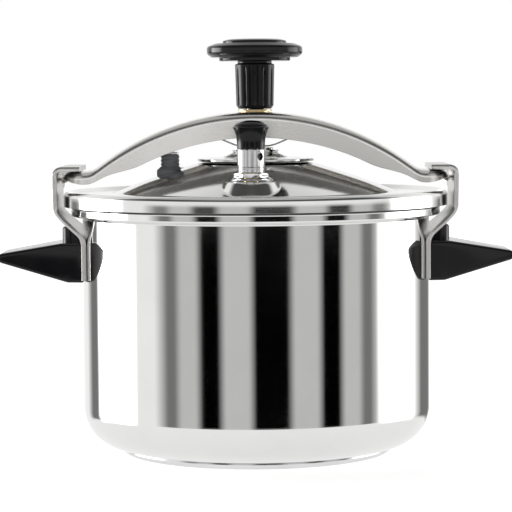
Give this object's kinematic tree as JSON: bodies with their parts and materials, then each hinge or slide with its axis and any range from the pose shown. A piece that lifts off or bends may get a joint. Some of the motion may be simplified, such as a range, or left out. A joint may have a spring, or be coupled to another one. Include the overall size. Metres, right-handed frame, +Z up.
{
  "type": "stovetop pressure cooker",
  "caption": "Deep steel pot with a domed lid clamped by a stirrup and screw knob under side hooks, with steam regulator and safety valve.",
  "frame": {"origin": "centre of the base's underside, on the surface that the pot stands on", "axes": "+X along the stirrup towards the right handle, -Y towards the regulator valve and the way the closure slides out, +Z up"},
  "size_m": [0.3268, 0.2456, 0.2638],
  "materials": {
    "polished_steel": "mirror polished stainless steel with faint circular polishing lines",
    "satin_steel": "satin ground stainless steel",
    "bright_steel": "turned bright steel",
    "aluminium": "plain cast disc",
    "brass": "turned",
    "black_phenolic": "moulded black phenolic with a soft gloss",
    "grey_silicone": "moulded matt silicone",
    "gasket_rubber": "moulded rubber"
  },
  "bodies": {
    "pot": {"pot_shell": "polished_steel", "base_cap": "satin_steel", "heat_spreader": "aluminium", "left_hook_lug": "satin_steel", "right_hook_lug": "satin_steel", "left_handle": "black_phenolic", "right_handle": "black_phenolic", "left_handle_bracket": "satin_steel", "right_handle_bracket": "satin_steel", "left_handle_screw": "bright_steel", "right_handle_screw": "bright_steel"},
    "stirrup": {"stirrup": "satin_steel", "threaded_bush": "brass", "bush_lock_nut": "satin_steel"},
    "foot": {"pressure_foot": "polished_steel", "lid_clip_wire": "bright_steel"},
    "knob": {"clamp_spindle": "bright_steel", "spindle_retaining_ring": "bright_steel", "clamp_knob": "black_phenolic", "knob_cap": "black_phenolic", "knob_fixing_screw": "bright_steel"},
    "lid": {"lid_shell": "polished_steel", "lid_gasket": "gasket_rubber", "centre_plate": "polished_steel", "steam_nozzle": "brass", "nozzle_washer": "satin_steel", "nozzle_nut": "satin_steel", "safety_valve_tube": "satin_steel", "safety_valve_nut": "satin_steel", "safety_valve_sleeve": "grey_silicone"},
    "needle": {"regulator_needle": "bright_steel", "regulator_spring": "bright_steel"},
    "regulator": {"regulator_weight": "bright_steel", "regulator_cap": "black_phenolic"},
    "safety_pin": {"safety_valve_pin": "bright_steel"}
  },
  "joints": [
    {"name": "closure_slide", "type": "slide", "parent": "pot", "child": "stirrup", "axis": [0, -1, 0], "range_m": [0, 0.28]},
    {"name": "screw_travel", "type": "slide", "parent": "stirrup", "child": "foot", "axis": [0, 0, 1], "range_m": [0, 0.003]},
    {"name": "knob_turn", "type": "hinge", "parent": "foot", "child": "knob", "pos_m": [0, 0, 0.2348], "axis": [0, 0, 1], "range_deg": [0, 360]},
    {"name": "lid_swivel", "type": "hinge", "parent": "foot", "child": "lid", "pos_m": [0, 0, 0.1886], "axis": [0, 0, 1], "range_deg": [-16, 9]},
    {"name": "regulator_lift", "type": "slide", "parent": "lid", "child": "needle", "axis": [0, 0, 1], "range_m": [0, 0.03]},
    {"name": "regulator_turn", "type": "hinge", "parent": "needle", "child": "regulator", "pos_m": [-0.0026, -0.072, 0.188], "axis": [0, 0, 1], "continuous": true},
    {"name": "safety_pin_lift", "type": "slide", "parent": "lid", "child": "safety_pin", "axis": [0, 0, 1], "range_m": [0, 0.002], "stiffness_N_per_m": 400}
  ],
  "couplings": [
    {"joint": "knob_turn", "follows": "screw_travel", "rad_per_m": 2094.4}
  ]
}
